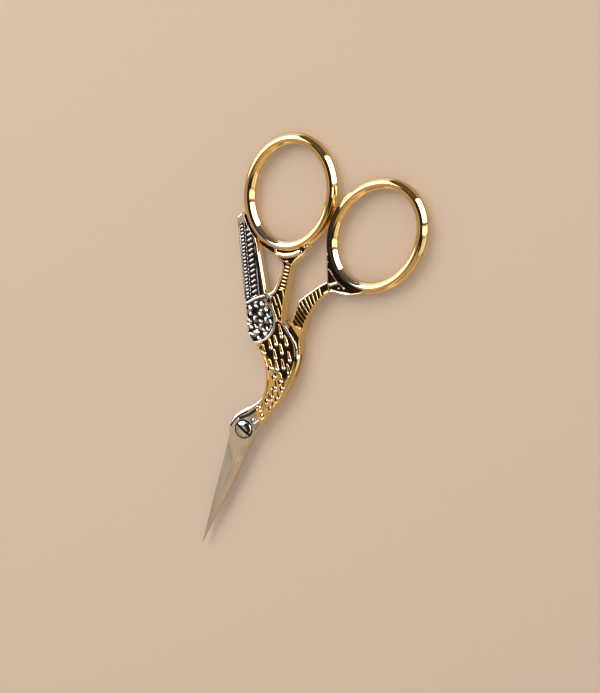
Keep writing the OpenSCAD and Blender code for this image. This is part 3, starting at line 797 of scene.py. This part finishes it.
def head_relief(x, y, d_left, d_right, front):
    """Recess or ring for the screw, the groove round the head, and the first feathers."""
    around = np.hypot(x, y)
    if front:
        hole = -RECESS * step(RECESS_R + 0.08, RECESS_R, around)
        ring = step(RECESS_R + 0.12, RECESS_R + 0.04, around)
    else:
        ring = step(0.2, 0.12, around - SCREW_SHANK)
        hole = -0.12 * ring
    groove = -0.20 * np.minimum(ridge(x, y, GROOVE, 0.34, 1.3), 1)
    field = neck_field(x, y) * step(0.5, 0.8, d_left) * step(0.3, 0.6, d_right)
    h, darkening, silver = feathers(x, y, field, 0.0)
    h = np.where(silver > 0, h, np.minimum(h, groove))
    h = np.where(around < FLAT_R, np.minimum(hole, 0), h)
    # Darker in the groove, patina and painted shade, and a dark line along the rim, which is painted shade
    lines = np.maximum(-(groove + 0.05), 0.2 * ridge(x, y, RIM_LINE, 0.22, 1.0))
    # Painted shade in the gap round the screw's head
    darkening = np.where(around < FLAT_R, 0.2 * ring, np.maximum(darkening, lines))
    gold = step(3.8, 4.8, y + 0.5 * x) * step(0.9, 1.3, d_left) * (1 - silver)
    return step(-2.5, -2.0, y) * h, darkening, gold


def blade(half, front):
    """Blade and head of one half. The back one is the front one turned over."""
    lands, facets, flats, wall = 96, 14, 12, 2
    f = np.linspace(0, 1, facets)
    round_out, round_up = 1 - np.cos(f * math.pi / 2), np.sin(f * math.pi / 2)
    rings, patina_and_shade_rows, others = [], [], []
    for lx, ly, rx, ry, wide_l, wide_r, edge, spine, land, rounded in blade_table():
        left, right = np.array([lx, ly]), np.array([rx, ry])
        width = np.linalg.norm(right - left)
        out = (1 - rounded) * f + rounded * round_out
        up = (1 - rounded) * f + rounded * round_up
        middle = wide_l + (width - wide_l - wide_r) * np.linspace(0, 1, lands)[1:-1]
        d = np.concatenate([wide_l * out, middle, width - wide_r * out[::-1]])
        thick = np.concatenate([edge + (land - edge) * up, np.full(lands - 2, land),
                                spine + (land - spine) * up[::-1]])
        if not front:
            d, thick = width - d[::-1], thick[::-1]
        face = left + d[:, None] * (right - left) / width
        flat = left + np.linspace(0, width, flats)[:, None] * (right - left) / width
        h, patina_and_shade, other = head_relief(face[:, 0], face[:, 1], d, width - d, front)
        inside = np.minimum(d / max(wide_l, 0.01), (width - d) / max(wide_r, 0.01))
        thick = thick + h * step(0.35, 0.8, inside) * (land > 1)
        tones = np.array([patina_and_shade * step(0.1, 0.35, inside), other + 0 * thick])
        plain_tones = np.zeros((2, flats))
        if front:
            low = np.c_[flat, np.full(flats, FRONT_LOW)]
            high = np.c_[face, FRONT_LOW + thick]
            low_tones, high_tones = plain_tones, tones
        else:
            low = np.c_[face, np.maximum(BACK_TOP - thick, 0.0)]
            high = np.c_[flat, np.full(flats, BACK_TOP)]
            low_tones, high_tones = tones, plain_tones
        steps = np.linspace(0, 1, wall + 2)[1:-1, None]
        right_wall = low[-1] + steps * (high[-1] - low[-1])
        left_wall = high[0] + steps * (low[0] - high[0])
        rings.append(np.vstack([low, right_wall, high[::-1], left_wall]))
        clean = np.zeros((2, wall))
        patina_and_shade, other = np.concatenate([low_tones, clean, high_tones[:, ::-1], clean], 1)
        patina_and_shade_rows.append(patina_and_shade)
        others.append(other)
    cols = len(rings[0])
    tip, neck = tuple(range(cols)[::-1]), tuple(range((len(rings) - 1) * cols, len(rings) * cols))
    tones = {"patina_and_shade": np.concatenate(patina_and_shade_rows), "other_metal_and_highlight": np.concatenate(others)}
    return build(half + "_blade_steel", np.vstack(rings), grid_faces(len(rings), cols) + [tip, neck], STEEL,
                 half + "_half", [half + "_blade"], tones, angle=38)


blade("front", True)
blade("back", False)


def turned_mesh(profile, steps):
    """Points and faces of a profile [radius, height] turned round Z. It starts and ends on the axis."""
    ring = profile[1:-1]
    points = [(0, 0, profile[0][1]), (0, 0, profile[-1][1])]
    for k in range(steps):
        a = 2 * math.pi * k / steps
        points += [(r * math.cos(a), r * math.sin(a), z) for r, z in ring]
    n = len(ring)
    faces = []
    for k in range(steps):
        a, b = 2 + k * n, 2 + (k + 1) % steps * n
        faces += [(0, b, a), (1, a + n - 1, b + n - 1)]
        faces += [(a + i, b + i, b + i + 1, a + i + 1) for i in range(n - 1)]
    return points, faces


# The screw's head above its seat, its dome, and the rounding of its rim. Then the slot, and its broken edges.
HEAD_HEIGHT, HEAD_DOME, HEAD_ROUNDING = 0.775, 0.26, 0.20
SLOT_WIDTH, SLOT_DEPTH, SLOT_TURN = 0.55, 0.5, math.radians(-15)
EDGE_BREAK, SHARP = 0.035, 40


def crowned(r, top):
    """Height of the screw's head at a radius: nearly flat, and rounded towards its rim."""
    k = np.clip(np.asarray(r) / SCREW_HEAD, 0, 1)
    rim_share = np.clip((k - 0.86) / 0.14, 0, 1)
    return top - HEAD_DOME * k ** 2.6 - HEAD_ROUNDING * (1 - np.sqrt(1 - rim_share ** 2))


def cut_slot(screw, top):
    """Cuts the driver slot into the screw, breaks the edges, and darkens the slot's floor with painted shade."""
    bpy.ops.mesh.primitive_cube_add(size=1, location=(0, 0, top * MM), rotation=(0, 0, SLOT_TURN),
                                    scale=(6 * MM, SLOT_WIDTH * MM, 2 * SLOT_DEPTH * MM))
    cutter = bpy.context.object
    cut = screw.modifiers.new("slot", "BOOLEAN")
    cut.object = cutter
    cut.operation = "DIFFERENCE"
    cut.solver = "EXACT"
    soft = screw.modifiers.new("edges", "BEVEL")
    soft.width = EDGE_BREAK * MM
    soft.segments = 3
    soft.limit_method = "ANGLE"
    soft.angle_limit = math.radians(SHARP)
    mesh = bpy.data.meshes.new_from_object(screw.evaluated_get(bpy.context.evaluated_depsgraph_get()))
    screw.modifiers.clear()
    screw.data = mesh
    bpy.data.objects.remove(cutter)
    shade_smooth(mesh, SHARP)
    x, y, z = np.array([v.co for v in mesh.vertices]).T / MM
    from_middle = np.abs(y * math.cos(SLOT_TURN) - x * math.sin(SLOT_TURN))
    on_floor = (from_middle < SLOT_WIDTH / 2 + 0.045) & (np.abs(z - (top - SLOT_DEPTH)) < 0.12)
    # Painted shade: the slot's floor is darkened as if in shadow
    darkened = mesh.attributes.new("patina_and_shade", "FLOAT", "POINT")
    darkened.data.foreach_set("value", np.where(on_floor, 0.2, 0.0).astype(np.float32))


def pivot_screw():
    """The screw: a turned shank and head, and the slot in it."""
    seat = DEPTH - RECESS + GAP / 2
    top = seat + HEAD_HEIGHT
    profile = [(0, 0.03), (0.6, 0.03), (0.86, 0.05), (0.99, 0.12), (SCREW_SHANK, 0.22), (SCREW_SHANK, seat),
               (SCREW_HEAD - 0.06, seat), (SCREW_HEAD, seat + 0.06)]
    for r in SCREW_HEAD * np.array([1.0, 0.995, 0.985, 0.97, 0.945, 0.91, 0.87, *np.linspace(0.82, 0, 18)]):
        profile.append((r, crowned(r, top)))
    points, faces = turned_mesh(profile, 144)
    screw = build("pivot_screw_head", points, faces, NICKEL, "back_half", ["pivot_screw"], angle=45)
    cut_slot(screw, top)


pivot_screw()

# Colours of the floor and of what is seen and lit beyond it
PAPER, BACKDROP, DAYLIGHT = (0.52, 0.405, 0.315), (0.66, 0.51, 0.40), (1.0, 0.97, 0.94)

# The floor isn't seen in reflections, so that walls and undersides reflect the studio's panels too
floor_mat, tree, shader = new_material("pale_paper")
shader.inputs["Base Color"].default_value = (*PAPER, 1)
shader.inputs["Roughness"].default_value = 0.9
roughen(tree, shader, noise(tree, None, 900.0, 2.0), 0.05, 0.0002)
bpy.ops.mesh.primitive_plane_add(size=4.0, location=(0, 0, -0.00002))
ground = bpy.context.object
ground.name = "floor"
ground.visible_glossy = False
ground.data.materials.append(floor_mat)

# Soft-edged panels of the studio, seen in the metal. Angles in degrees: side from +X to +Y, height from the
# horizon, half the extent sideways and upwards, and the width of the edge. Then the colour and the strength.
WHITE = (0.96, 0.98, 1.0)
GREY = (1.0, 0.79, 0.61)
WARM = (1.0, 0.76, 0.50)
BROWN = (1.0, 0.72, 0.50)
PANELS = [
    (46, 18, -9, 37, 3, WHITE, 6.0),
    (15, 4, -5, 42, 4, WHITE, 2.2),
    (162, 32, 38, 26, 5, WHITE, 3.6),
    (158, 28, -15, 24, 10, WHITE, 0.8),
    (228, 30, 8, 38, 9, GREY, 0.43),
    (238, 26, 61, 9, 6, WARM, 0.62),
    (284, 18, 10, 46, 8, BROWN, 0.46),
    (320, 20, 12, 48, 9, WARM, 0.50),
    (356, 8, -15, 28, 5, WHITE, 0.9),
    (95, 22, 15, 52, 8, BROWN, 0.11),
    (0, 180, -65, 30, 14, WARM, 0.42),
]
DARK_ROOM = (0.020, 0.018, 0.019)


def added(tree, a, b):
    """The sum of two colours."""
    node = tree.nodes.new("ShaderNodeVectorMath")
    node.operation = "ADD"
    tree.links.new(a, node.inputs[0])
    if isinstance(b, tuple):
        node.inputs[1].default_value = b
    else:
        tree.links.new(b, node.inputs[1])
    return node.outputs["Vector"]


def panel(tree, turned, raised, side, half, height, tall, soft, colour, strength):
    """One panel's light in the direction turned and raised."""
    to_side = maths(tree, "WRAP", maths(tree, "SUBTRACT", turned, math.radians(side)), math.pi, -math.pi)
    beyond = maths(tree, "ABSOLUTE", to_side)
    above = maths(tree, "ABSOLUTE", maths(tree, "SUBTRACT", raised, math.radians(height)))
    a = spread(tree, beyond, (math.radians(half + soft), math.radians(half)), kind="SMOOTHSTEP")
    b = spread(tree, above, (math.radians(tall + soft), math.radians(tall)), kind="SMOOTHSTEP")
    node = tree.nodes.new("ShaderNodeVectorMath")
    node.operation = "SCALE"
    node.inputs[0].default_value = [c * strength for c in colour]
    tree.links.new(maths(tree, "MULTIPLY", a, b), node.inputs["Scale"])
    return node.outputs["Vector"]


def background(tree, colour, strength=1.0):
    """An even background, or one in the colours of a socket."""
    node = tree.nodes.new("ShaderNodeBackground")
    node.inputs["Strength"].default_value = strength
    if isinstance(colour, tuple):
        node.inputs["Color"].default_value = (*colour, 1)
    else:
        tree.links.new(colour, node.inputs["Color"])
    return node.outputs["Background"]


def chosen(tree, share, without, with_it):
    """One background, or the other where share is 1."""
    node = tree.nodes.new("ShaderNodeMixShader")
    tree.links.new(share, node.inputs["Fac"])
    tree.links.new(without, node.inputs[1])
    tree.links.new(with_it, node.inputs[2])
    return node.outputs["Shader"]


def studio():
    """The world: panels for reflections, even light for the rest, and a pale backdrop."""
    world = bpy.data.worlds.new("studio")
    bpy.context.scene.world = world
    world.use_nodes = True
    tree = world.node_tree
    tree.nodes.clear()
    axes = tree.nodes.new("ShaderNodeSeparateXYZ")
    tree.links.new(tree.nodes.new("ShaderNodeTexCoord").outputs["Generated"], axes.inputs["Vector"])
    turned = maths(tree, "ARCTAN2", axes.outputs["Y"], axes.outputs["X"])
    raised = maths(tree, "ARCSINE", axes.outputs["Z"])
    total = panel(tree, turned, raised, *PANELS[0])
    for entry in PANELS[1:]:
        total = added(tree, total, panel(tree, turned, raised, *entry))
    path = tree.nodes.new("ShaderNodeLightPath")
    even = background(tree, DAYLIGHT, 0.86)
    lit = chosen(tree, path.outputs["Is Glossy Ray"], even, background(tree, added(tree, total, DARK_ROOM)))
    surface = chosen(tree, path.outputs["Is Camera Ray"], lit, background(tree, BACKDROP))
    tree.links.new(surface, tree.nodes.new("ShaderNodeOutputWorld").inputs["Surface"])


studio()


def softbox(name, place, target, size, power):
    """A round lamp that points from its place to a target."""
    light = bpy.data.lights.new(name, "AREA")
    light.shape = "DISK"
    light.size = size
    light.energy = power
    light.color = (1.0, 0.96, 0.92)
    lamp = bpy.data.objects.new(name, light)
    bpy.context.scene.collection.objects.link(lamp)
    lamp.location = place
    lamp.rotation_euler = (Vector(target) - Vector(place)).to_track_quat("-Z", "Y").to_euler()
    lamp.visible_glossy = False


softbox("key_light", (-0.35, 0.25, 0.50), (0, 0.02, 0), 0.50, 2.4)

# The camera at the photograph's angle: the directions to its right, up and back, and its place in metres
RIGHT = (0.839386, 0.36136, -0.406018)
UP = (-0.446483, 0.884411, -0.135908)
BACK = (0.309975, 0.295359, 0.903702)
PLACE = (0.12733, 0.138871, 0.36111)
camera = bpy.data.cameras.new("camera")
camera.sensor_fit = "HORIZONTAL"
camera.sensor_width = 36.0
camera.lens = 115.214
camera.clip_start = 0.01
eye = bpy.data.objects.new("camera", camera)
bpy.context.scene.collection.objects.link(eye)
eye.matrix_world = Matrix.Translation(PLACE) @ Matrix((RIGHT, UP, BACK)).transposed().to_4x4()
bpy.context.scene.camera = eye
bpy.context.scene.view_settings.view_transform = "Standard"
